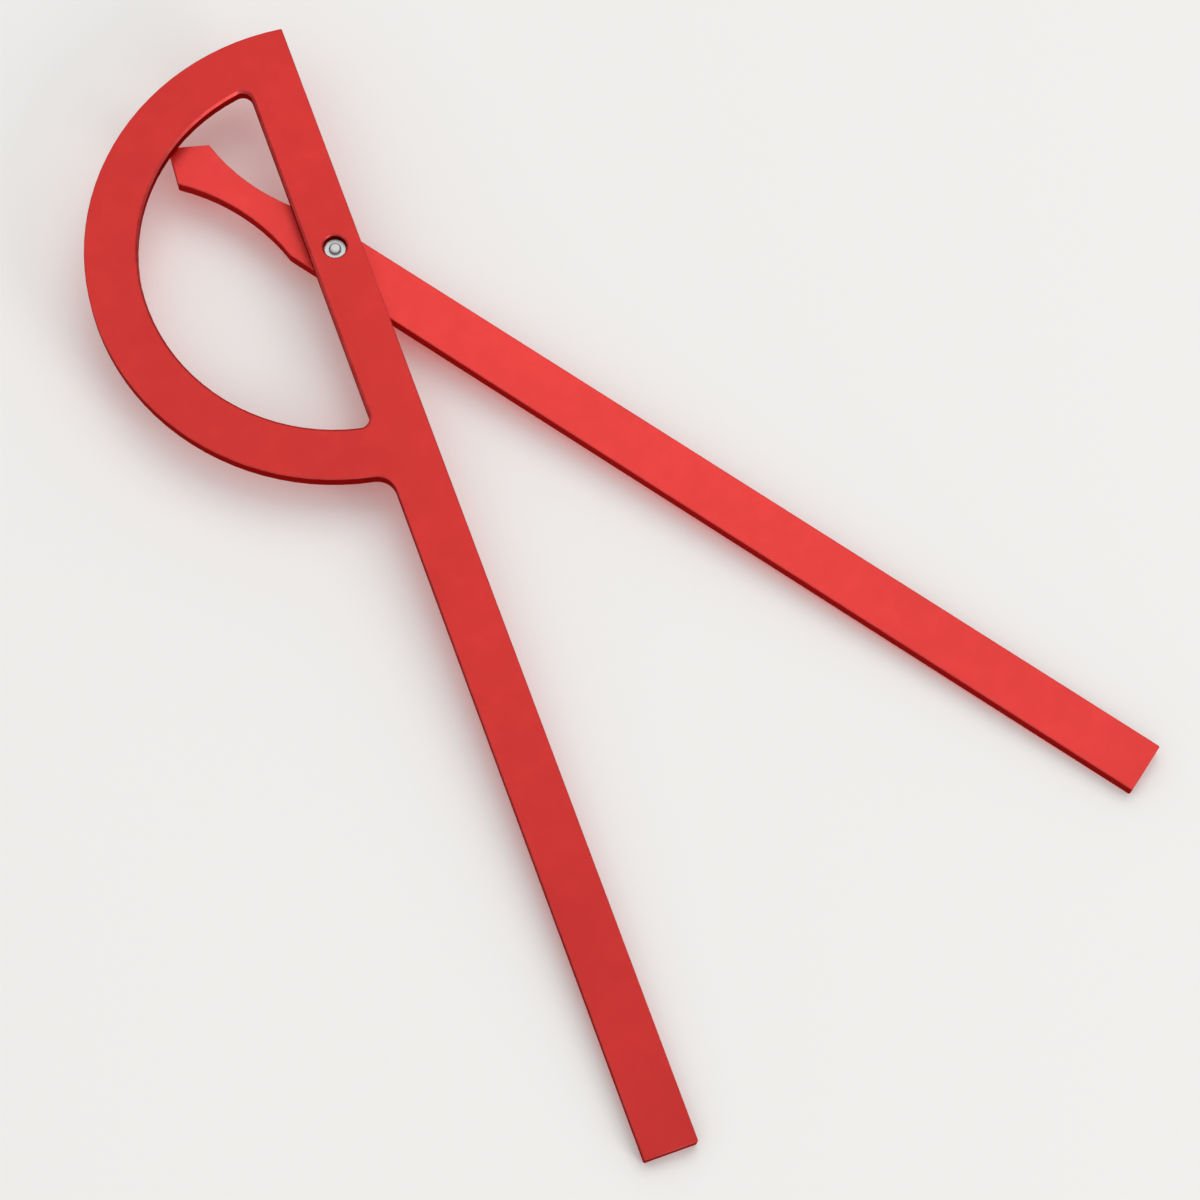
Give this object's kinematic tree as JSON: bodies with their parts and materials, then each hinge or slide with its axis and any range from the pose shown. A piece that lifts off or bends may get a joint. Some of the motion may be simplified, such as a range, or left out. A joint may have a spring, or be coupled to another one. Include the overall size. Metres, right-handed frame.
{
  "type": "angle finder",
  "caption": "Flat angle finder: a straight arm with a half-round protractor head, a second arm with an arrow tail turning on a pivot under it, and a knurled lock nut.",
  "frame": {"origin": "on the pivot axis, in the plane of the lock nut's outer face", "axes": "+Z along the pivot from the nut to the fixed arm's plain back; the fixed arm runs along -Y from the pivot and the protractor head bulges to -X"},
  "size_m": [0.2513, 0.364, 0.0186],
  "materials": {
    "anodised_plate": "satin red anodised",
    "bright_steel": "bright turned",
    "spacer": "matte black",
    "brass_nut": "turned and knurled"
  },
  "bodies": {
    "fixed_side": {"fixed_arm": "anodised_plate", "pivot_screw": "bright_steel", "head_washer": "bright_steel", "spacer_washer": "spacer", "nut_washer": "bright_steel"},
    "moving_arm": {"moving_arm": "anodised_plate"},
    "lock_nut": {"lock_nut": "brass_nut"}
  },
  "joints": [
    {"name": "arm_swing", "type": "hinge", "parent": "fixed_side", "child": "moving_arm", "pos_m": [0, 0, 0.0104], "axis": [0, 0, 1], "continuous": true},
    {"name": "nut_turn", "type": "hinge", "parent": "fixed_side", "child": "lock_nut", "pos_m": [0, 0, 0.004], "axis": [0, 0, 1], "continuous": true}
  ]
}
